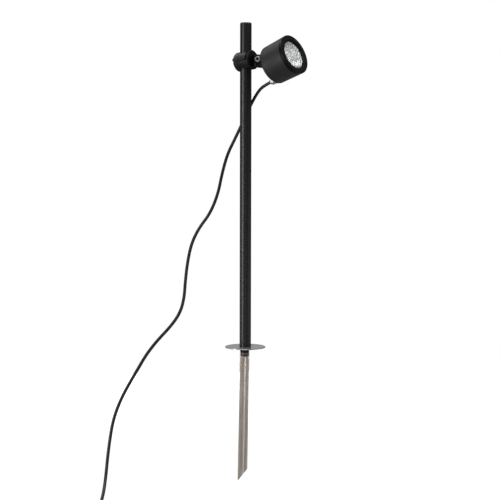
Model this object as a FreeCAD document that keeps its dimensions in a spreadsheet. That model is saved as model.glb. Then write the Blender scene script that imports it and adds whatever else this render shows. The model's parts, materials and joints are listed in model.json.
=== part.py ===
"""Garden spike spotlight: an adjustable lamp head on a one-metre pole with a ground spike.

All sizes are millimetres.  Origin: centre of the underside of the ground plate, at soil level.
+Z is up, and the head leans out towards +X and -Y.  Everything below Z = 0 goes into the soil,
apart from the cord, which hangs from the head to the surface under the tip of the spike.
"""

import FreeCAD, Part
import math
import os
import Sketcher

Vector = FreeCAD.Vector
Rotation = FreeCAD.Rotation
Placement = FreeCAD.Placement

DOCUMENT = FreeCAD.newDocument("garden_spike_spotlight")


# ---------------------------------------------------------------------------
# Driving dimensions
# ---------------------------------------------------------------------------

DIMENSIONS = {
    # pole and ground plate
    "pole_radius": 12.5,
    "pole_wall": 1.5,
    "pole_top": 703.8,
    "cap_rise": 4.0,
    "cap_rounding": 2.8,
    "cap_plug_depth": 14.0,
    "cap_plug_wall": 1.5,
    "foot_plug_depth": 28.0,
    "plate_radius": 44.0,
    "plate_thickness": 2.0,
    "edge_break": 0.4,
    # screw that holds the pole, the plate and the spike together
    "anchor_radius": 3.9,
    "anchor_hole_radius": 4.2,
    "anchor_head_across": 13.0,
    "anchor_head_height": 5.3,
    "anchor_head_turn": 5.0,
    "anchor_reach": 22.0,
    "washer_radius": 10.0,
    "washer_thickness": 2.0,
    # spike
    "spike_leg": 15.0,
    "spike_wall": 2.0,
    "spike_inner_rounding": 2.0,
    "spike_toe_rounding": 0.7,
    "spike_bottom": -295.5,
    "spike_cut_slope": 52.4,
    "spike_cut_pitch": 13.2,
    "spike_cut_left": 10.2,
    "spike_corner_right": 0.85,
    "spike_corner_back": 14.2,
    "spike_gap": 0.3,
    "spike_turn": 35.0,
    "spike_lean": 0.92,
    "weld_height": 12.7,
    "weld_radius": 8.4,
    "weld_along_leg": 8.3,
    "weld_from_leg": 9.7,
    # clamp on the pole
    "clamp_height": 621.5,
    "head_bearing": 36.5,
    "hub_rise": 8.0,
    "hub_radius": 21.1,
    "hub_left": -21.5,
    "jaw_right": 12.9,
    "flange_left": 16.5,
    "flange_right": 20.5,
    "flange_bevel": 2.2,
    "hub_rounding": 5.5,
    "split_gap": 0.4,
    "split_bevel": 1.2,
    "rib_place": -7.2,
    "rib_width": 1.2,
    "rib_rise": 0.5,
    "bush_wall": 1.05,
    "bush_half_length": 17.0,
    "bush_slit": 1.5,
    "running_gap": 0.05,
    # two screws that pull the jaw on to the pole, and the size of screw used for the bracket too
    "jaw_screw_side": 16.2,
    "jaw_screw_rise": 4.5,
    "jaw_screw_length": 36.5,
    "screw_radius": 1.95,
    "screw_head_radius": 3.5,
    "screw_head_height": 4.0,
    "screw_socket_across": 3.0,
    # tilting knuckle
    "pivot_reach": 41.2,
    "pivot_drop": 3.05,
    "tongue_half": 4.0,
    "tongue_radius": 8.5,
    "slot_half": 5.0,
    "fork_half": 9.5,
    "pivot_radius": 4.0,
    "pivot_head_radius": 6.7,
    "pivot_head_height": 5.0,
    "pivot_socket_across": 6.0,
    "pivot_length": 30.0,
    "pivot_washer_radius": 8.0,
    "pivot_washer_thickness": 1.6,
    "pivot_nut_across": 13.0,
    "pivot_nut_height": 6.5,
    "friction_ring_radius": 9.0,
    # lamp head: its own frame has X along the beam, Z up across it, origin on the rear face
    "head_tilt": 21.5,
    "pivot_behind_head": 19.8,
    "pivot_above_axis": 24.3,
    "rear_radius": 41.7,
    "barrel_radius": 43.4,
    "barrel_length": 56.2,
    "barrel_bore": 38.5,
    "rear_wall": 4.0,
    "rear_rounding": 7.0,
    "spigot_radius": 39.9,
    "spigot_end": 56.4,
    "ring_groove_floor": 47.0,
    "ring_groove_radius": 41.95,
    "bezel_start": 56.4,
    "bezel_end": 63.4,
    "bezel_radius": 43.45,
    "bezel_bore": 40.1,
    "bezel_skirt_radius": 41.8,
    "bezel_rounding": 0.8,
    "window_radius": 29.6,
    "window_depth": 2.3,
    "window_flare": 4.2,
    "glass_radius": 39.8,
    "glass_thickness": 3.0,
    "gasket_thickness": 1.2,
    "foot_radius": 18.0,
    "foot_thickness": 5.0,
    "foot_above_axis": 9.0,
    "foot_screw_circle": 13.0,
    "foot_screw_length": 12.0,
    # inside the head
    "post_radius": 3.2,
    "heat_screw_radius": 1.45,
    "heat_screw_length": 14.0,
    "board_screw_radius": 1.2,
    "board_screw_length": 6.5,
    "holder_screw_radius": 1.0,
    "holder_screw_length": 6.0,
    "holder_screw_circle": 15.75,
    "heat_plate_start": 18.0,
    "heat_plate_thickness": 4.0,
    "heat_plate_radius": 38.2,
    "heat_screw_circle": 32.0,
    "led_board_side": 19.0,
    "led_board_thickness": 1.4,
    "led_radius": 6.0,
    "holder_thickness": 3.0,
    "reflector_wall": 1.2,
    "board_start": 9.0,
    "board_thickness": 1.6,
    "board_width": 44.0,
    "board_height": 36.0,
    "board_centre": 6.0,
    "terminal_pitch": 6.0,
    "terminal_depth": 6.6,
    "terminal_height": 8.0,
    "terminal_low": -10.5,
    "lead_hole_rise": 24.0,
    "lead_hole_radius": 2.6,
    # cord entry
    "gland_drop": 31.0,
    "gland_thread_radius": 5.2,
    "gland_across": 14.0,
    "gland_locknut_across": 12.5,
    "gland_boss_radius": 9.0,
    "gland_length": 14.0,
    "gland_collar": 4.5,
    "gland_nut_flats": 5.5,
    "gland_seal_radius": 5.3,
    "gland_seal_length": 5.8,
    "tail_end": 12.0,
    "core_radius": 0.8,
    "lead_radius": 0.6,
    # cord and plug
    "cord_radius": 3.4,
    "coil_radius": 41.0,
    "coil_pitch": 7.4,
    "tie_wall": 0.9,
    "tie_width": 9.0,
    "tie_bearing": 40.0,
    "plug_radius": 18.0,
    "plug_length": 34.0,
    "boot_length": 30.0,
    "pin_radius": 2.4,
    "pin_length": 19.0,
    "pin_spacing": 19.0,
}


class Size:
    """A number from the sheet, together with the sheet expression that gives it."""

    def __init__(self, value, text):
        self.value = float(value)
        self.text = text

    def __float__(self):
        return self.value

    def _with(self, sign, other, value):
        return Size(value, f"({self.text} {sign} {as_size(other).text})")

    def __add__(self, other):
        return self._with("+", other, self.value + float(other))

    def __sub__(self, other):
        return self._with("-", other, self.value - float(other))

    def __mul__(self, other):
        return self._with("*", other, self.value * float(other))

    def __truediv__(self, other):
        return self._with("/", other, self.value / float(other))

    def __neg__(self):
        return Size(-self.value, f"(0 - {self.text})")

    def __radd__(self, other):
        return as_size(other) + self

    def __rsub__(self, other):
        return as_size(other) - self

    def __rmul__(self, other):
        return as_size(other) * self


def as_size(number):
    """Any plain number as a Size."""
    return number if isinstance(number, Size) else Size(number, f"({float(number)!r})")


def make_sheet():
    """The spreadsheet of driving dimensions, and each of its cells as a Size."""
    sheet = DOCUMENT.addObject("Spreadsheet::Sheet", "Sizes")
    sizes = {}
    for row, (name, number) in enumerate(DIMENSIONS.items(), start=1):
        sheet.set(f"A{row}", name)
        sheet.set(f"B{row}", str(number))
        sheet.setAlias(f"B{row}", name)
        sizes[name] = Size(number, f"Sizes.{name}")
    DOCUMENT.recompute()
    return sizes


S = make_sheet()


# ---------------------------------------------------------------------------
# Building blocks
# ---------------------------------------------------------------------------

X_AXIS = Vector(1, 0, 0)
Y_AXIS = Vector(0, 1, 0)
Z_AXIS = Vector(0, 0, 1)
ALONG_X = Rotation(Z_AXIS, X_AXIS)
ALONG_Y = Rotation(Z_AXIS, Y_AXIS)
UPRIGHT = Rotation()
BACKWARDS = Rotation(Z_AXIS, -X_AXIS)

NODES = []


def new_body(label, placement=None):
    """An empty body that becomes the node of that name."""
    body = DOCUMENT.addObject("PartDesign::Body", label)
    body.Label = label
    if placement is not None:
        body.Placement = placement
    NODES.append(body)
    return body


def new_feature(label, shape, placement=None):
    """A node whose shape is worked out here, for free forms such as the cord."""
    feature = DOCUMENT.addObject("Part::Feature", label)
    feature.Label = label
    feature.Shape = shape
    if placement is not None:
        feature.Placement = placement
    NODES.append(feature)
    return feature


def bind(item, **sizes):
    """Ties properties of an object to the sheet."""
    for name, size in sizes.items():
        item.setExpression(name, as_size(size).text)


def origin_plane(body, role):
    """One of the body's own three origin planes."""
    for feature in body.Origin.OriginFeatures:
        if feature.Role == role:
            return feature
    raise LookupError(role)


def outline(body, plane, points, name="outline"):
    """A closed sketch through the points, each corner held by two sizes from the sheet."""
    sketch = body.newObject("Sketcher::SketchObject", name)
    sketch.AttachmentSupport = [(origin_plane(body, plane), "")]
    sketch.MapMode = "FlatFace"
    corners = [Vector(float(across), float(up), 0) for across, up in points]
    for start, end in zip(corners, corners[1:] + corners[:1]):
        sketch.addGeometry(Part.LineSegment(start, end), False)
    count = len(points)
    for index in range(count):
        sketch.addConstraint(Sketcher.Constraint("Coincident", index, 2, (index + 1) % count, 1))
    for index, (across, up) in enumerate(points):
        for kind, size, axis in (("DistanceX", across, -2), ("DistanceY", up, -1)):
            if abs(float(size)) < 1e-9:
                sketch.addConstraint(Sketcher.Constraint("PointOnObject", index, 1, axis))
                continue
            held = Sketcher.Constraint(kind, -1, 1, index, 1, float(size))
            number = sketch.addConstraint(held)
            sketch.setExpression(f"Constraints[{number}]", as_size(size).text)
    return sketch


def revolve(body, points):
    """A ring or shaft about the local X axis, from an outline of (along, radius) points."""
    sketch = outline(body, "XZ_Plane", points)
    turned = body.newObject("PartDesign::Revolution", "turned")
    turned.Profile = sketch
    turned.ReferenceAxis = (sketch, ["H_Axis"])
    turned.Angle = 360.0
    return turned


def pad(body, plane, points, length, midplane=False, backwards=False):
    """A plate of the given thickness, from an outline on one of the origin planes."""
    sketch = outline(body, plane, points)
    plate = body.newObject("PartDesign::Pad", "plate")
    plate.Profile = sketch
    bind(plate, Length=length)
    plate.Midplane = midplane
    plate.Reversed = backwards
    return plate


def cylinder(body, radius, height, base, turn=UPRIGHT, cut=False):
    """A round bar added to a body, or a round hole cut from it."""
    kind = "PartDesign::SubtractiveCylinder" if cut else "PartDesign::AdditiveCylinder"
    item = body.newObject(kind, "hole" if cut else "bar")
    bind(item, Radius=radius, Height=height)
    item.Placement = Placement(base, turn)
    return item


def block(body, sides, base, turn=UPRIGHT, cut=False):
    """A rectangular block added to a body, or cut from it."""
    kind = "PartDesign::SubtractiveBox" if cut else "PartDesign::AdditiveBox"
    item = body.newObject(kind, "recess" if cut else "block")
    bind(item, Length=sides[0], Width=sides[1], Height=sides[2])
    item.Placement = Placement(base, turn)
    return item


def hexagon(body, across_flats, height, base, turn=UPRIGHT, cut=False):
    """A six-sided bar or socket, measured across its flats."""
    kind = "PartDesign::SubtractivePrism" if cut else "PartDesign::AdditivePrism"
    item = body.newObject(kind, "socket" if cut else "hexagon")
    item.Polygon = 6
    bind(item, Circumradius=as_size(across_flats) / math.sqrt(3), Height=height)
    item.Placement = Placement(base, turn)
    return item


def soften(body, kind, size, wanted):
    """Rounds or bevels the edges of the body's tip for which wanted(edge) is true."""
    DOCUMENT.recompute()
    tip = body.Tip
    names = [f"Edge{index}" for index, edge in enumerate(tip.Shape.Edges, start=1) if wanted(edge)]
    if not names:
        raise ValueError(f"no edge to soften on {body.Label}")
    item = body.newObject("PartDesign::" + kind, kind.lower())
    item.Base = (tip, names)
    bind(item, **{"Radius" if kind == "Fillet" else "Size": size})
    return item


def ring_edge(radius, along, axis=X_AXIS):
    """Picks full circles of a radius at a place along a local axis."""
    def wanted(edge):
        if not isinstance(edge.Curve, Part.Circle):
            return False
        return (abs(edge.Curve.Radius - float(radius)) < 0.02
                and abs(edge.Curve.Center.dot(axis) - float(along)) < 0.02)
    return wanted


def place(along=0.0, side=0.0, up=0.0):
    """A local point from sizes or plain numbers."""
    return Vector(float(along), float(side), float(up))


def around(count, radius, start=0.0):
    """Points on a circle about the local X axis, the first one start degrees from the top."""
    for index in range(count):
        angle = math.radians(start + 360.0 * index / count)
        yield float(radius) * math.sin(angle), float(radius) * math.cos(angle)


# ---------------------------------------------------------------------------
# Frames of the moving groups, at rest
# ---------------------------------------------------------------------------

CLAMP_TURN = Rotation(Z_AXIS, -float(S["head_bearing"]))
CLAMP_FRAME = Placement(Vector(0, 0, float(S["clamp_height"])), CLAMP_TURN)
HUB_FRAME = CLAMP_FRAME * Placement(Vector(), Rotation(Y_AXIS, -float(S["hub_rise"])))
PIVOT_FRAME = HUB_FRAME * Placement(place(S["pivot_reach"], 0, -S["pivot_drop"]), UPRIGHT)
LEVEL_PIVOT_FRAME = Placement(PIVOT_FRAME.Base, CLAMP_TURN)
HEAD_FRAME = (LEVEL_PIVOT_FRAME
              * Placement(Vector(), Rotation(Y_AXIS, -float(S["head_tilt"])))
              * Placement(place(S["pivot_behind_head"], 0, -S["pivot_above_axis"]), UPRIGHT))


# ---------------------------------------------------------------------------
# Pole, plate and spike
# ---------------------------------------------------------------------------

def make_ground_plate():
    body = new_body("ground_plate")
    thickness = S["plate_thickness"]
    cylinder(body, S["plate_radius"], thickness, Vector())
    cylinder(body, S["anchor_hole_radius"], thickness, Vector(), cut=True)
    for level in (0, thickness):
        soften(body, "Chamfer", S["edge_break"], ring_edge(S["plate_radius"], level, Z_AXIS))


def make_plate_washer():
    body = new_body("plate_washer")
    base = place(up=-S["washer_thickness"])
    cylinder(body, S["washer_radius"], S["washer_thickness"], base)
    cylinder(body, S["anchor_hole_radius"], S["washer_thickness"], base, cut=True)


def make_anchor_bolt():
    body = new_body("anchor_bolt")
    head_top = -S["washer_thickness"]
    head_base = head_top - S["anchor_head_height"]
    turned = Rotation(Z_AXIS, float(S["anchor_head_turn"]))
    hexagon(body, S["anchor_head_across"], S["anchor_head_height"], place(up=head_base), turned)
    cylinder(body, S["anchor_radius"], S["anchor_reach"] - head_top, place(up=head_top))


def spike_frame():
    """Frame of the angle section: X and Y along its legs, Z up, leaning a little sideways."""
    lean = Placement(Vector(), Rotation(Y_AXIS, float(S["spike_lean"])))
    corner = place(S["spike_corner_right"], S["spike_corner_back"])
    return lean * Placement(corner, Rotation(Z_AXIS, 180 + float(S["spike_turn"])))


def spike_top():
    return -S["washer_thickness"] - S["spike_gap"]


def upright_edge(across, along):
    """Picks the straight edges that stand at a place in a body's own X and Y."""
    def wanted(edge):
        if not isinstance(edge.Curve, Part.Line) or abs(edge.Curve.Direction.z) < 0.99:
            return False
        point = edge.Vertexes[0].Point
        return abs(point.x - float(across)) < 0.01 and abs(point.y - float(along)) < 0.01
    return wanted


def make_ground_spike():
    """Stainless angle with its open side to -Y, cut off at a slant to make the point."""
    body = new_body("ground_spike", spike_frame())
    leg, wall = S["spike_leg"], S["spike_wall"]
    corners = [(0, 0), (leg, 0), (leg, wall), (wall, wall), (wall, leg), (0, leg)]
    length = spike_top() - S["spike_bottom"]
    plate = pad(body, "XY_Plane", corners, length, backwards=True)
    plate.Profile[0].AttachmentOffset = Placement(place(up=spike_top()), UPRIGHT)
    soften(body, "Fillet", S["spike_inner_rounding"], upright_edge(wall, wall))
    for across, along in ((leg, wall), (wall, leg)):
        soften(body, "Fillet", S["spike_toe_rounding"], upright_edge(across, along))
    square_on = Rotation(Z_AXIS, -180 - float(S["spike_turn"]))
    tipped = Rotation(X_AXIS, -float(S["spike_cut_pitch"]))
    slant = square_on * tipped * Rotation(Y_AXIS, -float(S["spike_cut_slope"]))
    toe_back = float(leg) * math.sin(math.radians(float(S["spike_turn"])))
    tip = square_on.multVec(place(-S["spike_cut_left"], -toe_back)) + place(up=S["spike_bottom"])
    long, wide = 80.0, 60.0
    base = tip + slant.multVec(Vector(-long / 4, -wide / 2, -wide))
    block(body, (long, wide, wide), base, slant, cut=True)


def make_spike_weld():
    """Lump of weld that fills the open side of the angle under the bolt head."""
    body = new_body("spike_weld", spike_frame())
    height, radius, wall = S["weld_height"], S["weld_radius"], float(S["spike_wall"])
    top = -S["washer_thickness"] - S["anchor_head_height"] - S["spike_gap"]
    steps = [(0.0, 0.53), (0.27, 1.0), (0.70, 1.0), (1.0, 0.60)]
    for (start, first), (end, second) in zip(steps, steps[1:]):
        base = place(S["weld_along_leg"], S["weld_from_leg"], top - height * end)
        thickness = height * (end - start)
        if first == second:
            cylinder(body, radius, thickness, base)
            continue
        cone = body.newObject("PartDesign::AdditiveCone", "taper")
        bind(cone, Radius1=radius * second, Radius2=radius * first, Height=thickness)
        cone.Placement = Placement(base, UPRIGHT)
    reach = 30.0
    for turn in (0, -90):
        behind_leg = Rotation(Z_AXIS, turn)
        corner = behind_leg.multVec(Vector(-reach, -reach, 0))
        corner += place(wall, wall, top - height - 1)
        block(body, (reach * 2, reach, height + 2), corner, behind_leg, cut=True)


def make_pole():
    body = new_body("pole")
    base = place(up=S["plate_thickness"])
    length = S["pole_top"] - S["cap_rise"] - S["plate_thickness"]
    cylinder(body, S["pole_radius"], length, base)
    cylinder(body, S["pole_radius"] - S["pole_wall"], length, base, cut=True)


def make_pole_foot_plug():
    """Threaded plug pressed into the bottom of the pole, which the anchor bolt screws into."""
    body = new_body("pole_foot_plug")
    base = place(up=S["plate_thickness"])
    cylinder(body, S["pole_radius"] - S["pole_wall"], S["foot_plug_depth"], base)
    cylinder(body, S["anchor_hole_radius"] - 0.1, S["foot_plug_depth"], base, cut=True)


def make_pole_cap():
    """Low plastic cap with a plug that goes into the top of the pole."""
    body = new_body("pole_cap")
    tube_end = S["pole_top"] - S["cap_rise"]
    cylinder(body, S["pole_radius"] - 0.1, S["cap_rise"], place(up=tube_end))
    rim = ring_edge(S["pole_radius"] - 0.1, S["pole_top"], Z_AXIS)
    soften(body, "Fillet", S["cap_rounding"], rim)
    plug = place(up=tube_end - S["cap_plug_depth"])
    bore = S["pole_radius"] - S["pole_wall"]
    cylinder(body, bore, S["cap_plug_depth"], plug)
    cylinder(body, bore - S["cap_plug_wall"], S["cap_plug_depth"], plug, cut=True)


# ---------------------------------------------------------------------------
# Clamp: a nylon bush slides on the pole, and the clamp turns about the bush
# ---------------------------------------------------------------------------

def bush_inner():
    return S["pole_radius"] + S["running_gap"]


def bush_outer():
    return bush_inner() + S["bush_wall"]


def make_pole_bush():
    body = new_body("pole_bush", CLAMP_FRAME)
    half = S["bush_half_length"]
    cylinder(body, bush_outer(), half * 2, place(up=-half))
    cylinder(body, bush_inner(), half * 2, place(up=-half), cut=True)
    slit_base = place(bush_inner() - 2, -S["bush_slit"] / 2, -half)
    block(body, (S["bush_wall"] + 4, S["bush_slit"], half * 2), slit_base, cut=True)


def cut_pole_bore(body):
    """Upright hole for the bush, through a body made in the hub's rising frame."""
    upright = Rotation(Y_AXIS, float(S["hub_rise"]))
    base = upright.multVec(Vector(0, 0, -40))
    cylinder(body, bush_outer() + S["running_gap"], 80.0, base, upright, cut=True)


def hub_bar(body, right):
    """The lying cylinder that the hub's pieces are cut from, with its rounded left end."""
    left = S["hub_left"]
    cylinder(body, S["hub_radius"], right - left, place(left), ALONG_X)
    soften(body, "Fillet", S["hub_rounding"], ring_edge(S["hub_radius"], left))


def hub_rib(body):
    """Narrow raised ring round the hub."""
    cylinder(body, S["hub_radius"] + S["rib_rise"], S["rib_width"], place(S["rib_place"]), ALONG_X)


def make_clamp_body():
    """Lower half of the hub, the full round flange and the tongue of the knuckle."""
    body = new_body("clamp_body", HUB_FRAME)
    flange_right = S["flange_right"]
    hub_bar(body, flange_right)
    hub_rib(body)
    soften(body, "Chamfer", S["flange_bevel"], ring_edge(S["hub_radius"], flange_right))
    wide = S["hub_radius"] + 5
    corner = place(S["hub_left"] - 5, -wide, -S["split_gap"])
    block(body, (S["flange_left"] - S["hub_left"] + 5, wide * 2, wide), corner, cut=True)
    reach, drop = S["pivot_reach"], S["pivot_drop"]
    half, radius = S["tongue_half"], S["tongue_radius"]
    root = flange_right - 1
    tongue = [(root, -S["hub_radius"] * 0.75), (reach, -drop - radius), (reach, radius - drop),
              (root, S["hub_radius"] * 0.45)]
    pad(body, "XZ_Plane", tongue, half * 2, midplane=True)
    pivot = place(reach, -half, -drop)
    cylinder(body, radius, half * 2, pivot, ALONG_Y)
    cylinder(body, S["pivot_radius"] + S["running_gap"], half * 2, pivot, ALONG_Y, cut=True)
    cut_pole_bore(body)
    for side in (-1, 1):
        base = place(S["flange_left"] - 1, S["jaw_screw_side"] * side, S["jaw_screw_rise"])
        depth = flange_right - S["flange_left"] + 0.2
        cylinder(body, S["screw_radius"] + 0.05, depth, base, ALONG_X, cut=True)


def split_edge():
    """Picks the outer edges of the jaw's flat underside, apart from those at its right end."""
    height, right = float(S["split_gap"]), float(S["jaw_right"])

    def pick(edge):
        box = edge.BoundBox
        flat = abs(box.ZMin - height) < 0.01 and abs(box.ZMax - height) < 0.01
        return flat and box.XMin < right - 0.01
    return pick


def make_clamp_jaw():
    """Upper part of the hub, which two screws pull sideways on to the bush and the pole."""
    body = new_body("clamp_jaw", HUB_FRAME)
    hub_bar(body, S["jaw_right"])
    wide = S["hub_radius"] + 5
    corner = place(S["hub_left"] - 5, -wide, S["split_gap"] - wide)
    lower_half = (S["jaw_right"] - S["hub_left"] + 10, wide * 2, wide)
    block(body, lower_half, corner, cut=True)
    soften(body, "Chamfer", S["split_bevel"], split_edge())
    hub_rib(body)
    block(body, lower_half, corner, cut=True)
    cut_pole_bore(body)
    for side in (-1, 1):
        base = place(S["hub_left"] - 1, S["jaw_screw_side"] * side, S["jaw_screw_rise"])
        cylinder(body, S["screw_radius"] + 0.25, 40.0, base, ALONG_X, cut=True)
        cylinder(body, S["screw_head_radius"] + 0.2, S["screw_head_height"] + 1.2, base,
                 ALONG_X, cut=True)


def cap_screw(body, head, shank, base, turn, socket):
    """Socket-head screw: base is the underside of the head, and the shank points along turn.

    head and shank are each a radius and a length."""
    top = base - turn.multVec(place(up=head[1]))
    cylinder(body, head[0], head[1], top, turn)
    cylinder(body, shank[0], shank[1], base, turn)
    hexagon(body, socket, as_size(head[1]) * 0.6, top, turn, cut=True)


def case_screw(body, length, base, turn=ALONG_X):
    """The size of cap screw that holds the clamp together and the bracket on the head."""
    cap_screw(body, (S["screw_head_radius"], S["screw_head_height"]), (S["screw_radius"], length),
              base, turn, S["screw_socket_across"])


def small_screw(body, radius, length, base):
    """Screw inside the head, put in from the front, with a low head twice as wide as its shank."""
    radius = as_size(radius)
    cap_screw(body, (radius * 1.85, radius * 1.2), (radius, length), base, BACKWARDS, radius * 1.25)


def fastener_group(label, placement, screws):
    """Identical screws as one node: each one is a body of its own, joined in a compound."""
    group = DOCUMENT.addObject("Part::Compound", label)
    group.Label = label
    members = []
    for index, build in enumerate(screws, start=1):
        member = DOCUMENT.addObject("PartDesign::Body", f"{label}_{index}")
        member.Label = f"{label}_{index}"
        build(member)
        members.append(member)
    group.Links = members
    group.Placement = placement
    NODES.append(group)


def make_jaw_screws():
    def screw(side):
        def build(member):
            base = place(S["hub_left"] + 0.2 + S["screw_head_height"],
                         S["jaw_screw_side"] * side, S["jaw_screw_rise"])
            case_screw(member, S["jaw_screw_length"], base)
        return build
    fastener_group("jaw_screws", HUB_FRAME, [screw(-1), screw(1)])


# ---------------------------------------------------------------------------
# Knuckle between the clamp and the head
# ---------------------------------------------------------------------------

def make_head_bracket():
    """Fork with two cheeks about the tongue, ending in a round foot on the back of the head."""
    body = new_body("head_bracket", LEVEL_PIVOT_FRAME)
    # side view about the pivot; the right end lies inside the head, which is cut away below
    cheek = [(-6.0, 10.0), (48.0, 7.5), (48.0, -24.0), (21.5, -20.8), (-4.0, -18.2),
             (-11.0, -12.0), (-11.0, 5.0)]
    pad(body, "XZ_Plane", cheek, S["fork_half"] * 2, midplane=True)
    tilt = Rotation(Y_AXIS, -float(S["head_tilt"]))
    rear = tilt.multVec(place(S["pivot_behind_head"], 0, -S["pivot_above_axis"]))
    beyond = rear + tilt.multVec(Vector(0, -60, -60))
    block(body, (60.0, 120.0, 120.0), beyond, tilt, cut=True)
    foot = rear + tilt.multVec(place(-S["foot_thickness"], 0, S["foot_above_axis"]))
    cylinder(body, S["foot_radius"], S["foot_thickness"], foot, tilt * ALONG_X)
    slot = place(-30, -S["slot_half"], -40)
    block(body, (40.0, S["slot_half"] * 2, 80.0), slot, cut=True)
    bolt = place(0, -S["fork_half"], 0)
    cylinder(body, S["pivot_radius"] + 0.1, S["fork_half"] * 2, bolt, ALONG_Y, cut=True)
    for side, up in around(4, S["foot_screw_circle"], 45):
        hole = foot + tilt.multVec(Vector(-30, side, up))
        cylinder(body, S["screw_radius"] + 0.25, 60.0, hole, tilt * ALONG_X, cut=True)
        cylinder(body, S["screw_head_radius"] + 0.7, 30.0, hole, tilt * ALONG_X, cut=True)


def make_bracket_screws():
    def screw(side, up):
        def build(member):
            base = place(-S["foot_thickness"], side, S["foot_above_axis"] + up)
            case_screw(member, S["foot_screw_length"], base)
        return build
    points = around(4, S["foot_screw_circle"], 45)
    fastener_group("bracket_screws", HEAD_FRAME, [screw(side, up) for side, up in points])


def make_pivot_bolt():
    body = new_body("pivot_bolt", LEVEL_PIVOT_FRAME)
    base = place(0, -S["fork_half"], 0)
    head = (S["pivot_head_radius"], S["pivot_head_height"])
    cap_screw(body, head, (S["pivot_radius"], S["pivot_length"]), base, ALONG_Y,
              S["pivot_socket_across"])
    front = float(-S["fork_half"] - S["pivot_head_height"])
    soften(body, "Chamfer", 0.8, ring_edge(S["pivot_head_radius"], front, Y_AXIS))


def make_pivot_washer():
    body = new_body("pivot_washer", LEVEL_PIVOT_FRAME)
    base = place(0, S["fork_half"], 0)
    thickness = S["pivot_washer_thickness"]
    cylinder(body, S["pivot_washer_radius"], thickness, base, ALONG_Y)
    cylinder(body, S["pivot_radius"] + 0.2, thickness, base, ALONG_Y, cut=True)


def make_pivot_nut():
    body = new_body("pivot_nut", LEVEL_PIVOT_FRAME)
    base = place(0, S["fork_half"] + S["pivot_washer_thickness"])
    hexagon(body, S["pivot_nut_across"], S["pivot_nut_height"], base, ALONG_Y)
    cylinder(body, S["pivot_radius"] + 0.1, S["pivot_nut_height"], base, ALONG_Y, cut=True)


def make_friction_rings():
    """Two thin rings that hold the tilt, one on each side of the tongue."""
    thickness = S["slot_half"] - S["tongue_half"] - 0.1

    def ring(start):
        def build(member):
            cylinder(member, S["friction_ring_radius"], thickness, place(0, start, 0), ALONG_Y)
            cylinder(member, S["pivot_radius"] + 0.1, thickness, place(0, start, 0), ALONG_Y,
                     cut=True)
        return build
    near = -S["slot_half"]
    far = S["slot_half"] - thickness
    fastener_group("friction_rings", LEVEL_PIVOT_FRAME, [ring(near), ring(far)])


# ---------------------------------------------------------------------------
# Lamp head shell
# ---------------------------------------------------------------------------

def gland_place(along):
    return place(along, 0, -S["gland_drop"])


def make_lamp_housing():
    """Slightly tapered barrel, closed at the back, with a groove that the front ring screws into."""
    body = new_body("lamp_housing", HEAD_FRAME)
    bore, wall = S["barrel_bore"], S["rear_wall"]
    shoulder, spigot, spigot_end = S["barrel_length"], S["spigot_radius"], S["spigot_end"]
    floor, groove = S["ring_groove_floor"], S["ring_groove_radius"]
    revolve(body, [
        (0, 0), (0, S["rear_radius"]), (shoulder, S["barrel_radius"]), (shoulder, groove),
        (floor, groove), (floor, spigot), (spigot_end, spigot), (spigot_end, bore), (wall, bore),
        (wall, 0)])
    soften(body, "Fillet", S["rear_rounding"], ring_edge(S["rear_radius"], 0))
    boss_end, depth = S["heat_plate_start"], S["heat_screw_length"] - 3
    for side, up in around(3, S["heat_screw_circle"]):
        cylinder(body, S["post_radius"] + 0.6, boss_end - wall, place(wall, side, up), ALONG_X)
        cylinder(body, S["heat_screw_radius"] + 0.05, depth, place(boss_end - depth, side, up),
                 ALONG_X, cut=True)
    post_end, depth = S["board_start"], S["board_screw_length"] - 1
    for side, up in board_posts():
        cylinder(body, S["post_radius"], post_end - wall, place(wall, side, up), ALONG_X)
        cylinder(body, S["board_screw_radius"] + 0.05, depth, place(post_end - depth, side, up),
                 ALONG_X, cut=True)
    depth = S["foot_screw_length"] - S["foot_thickness"] + 0.5
    for side, up in around(4, S["foot_screw_circle"], 45):
        base = place(0, side, S["foot_above_axis"] + up)
        cylinder(body, S["post_radius"] + 1.3, depth + 0.8, base, ALONG_X)
        cylinder(body, S["screw_radius"] + 0.05, depth, base, ALONG_X, cut=True)
    cylinder(body, S["gland_boss_radius"], wall, gland_place(0), ALONG_X)
    cylinder(body, S["gland_thread_radius"] + 0.1, wall, gland_place(0), ALONG_X, cut=True)


def bezel_skirt_start():
    return S["ring_groove_floor"] + 1


def make_flat_rings():
    """The rubber seal at the bottom of the front ring's groove, and the gasket behind the glass."""
    floor = S["ring_groove_floor"]
    make_ring("bezel_seal", floor + 0.05, bezel_skirt_start() - 0.05, S["bezel_bore"] - 0.1,
              S["bezel_skirt_radius"])
    start = S["spigot_end"]
    make_ring("glass_gasket", start, start + S["gasket_thickness"], S["window_radius"] + 3.4,
              S["glass_radius"])


def make_front_bezel():
    """Front ring: its skirt screws into the barrel's groove, and its lip holds the glass."""
    body = new_body("front_bezel", HEAD_FRAME)
    lip = S["spigot_end"] + S["gasket_thickness"] + S["glass_thickness"] + 0.1
    start, end, radius = S["bezel_start"], S["bezel_end"], S["bezel_radius"]
    window, skirt, skirt_start = S["window_radius"], S["bezel_skirt_radius"], bezel_skirt_start()
    revolve(body, [
        (start, radius - 0.4), (start + 0.5, radius), (end, radius),
        (end, window + S["window_flare"]), (end - S["window_depth"], window), (lip, window),
        (lip, S["bezel_bore"]), (skirt_start, S["bezel_bore"]), (skirt_start, skirt),
        (start, skirt)])
    soften(body, "Fillet", S["bezel_rounding"], ring_edge(radius, end))


def make_ring(label, start, end, inner, outer):
    """A plain flat ring about the beam axis."""
    body = new_body(label, HEAD_FRAME)
    revolve(body, [(start, inner), (start, outer), (end, outer), (end, inner)])


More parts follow.
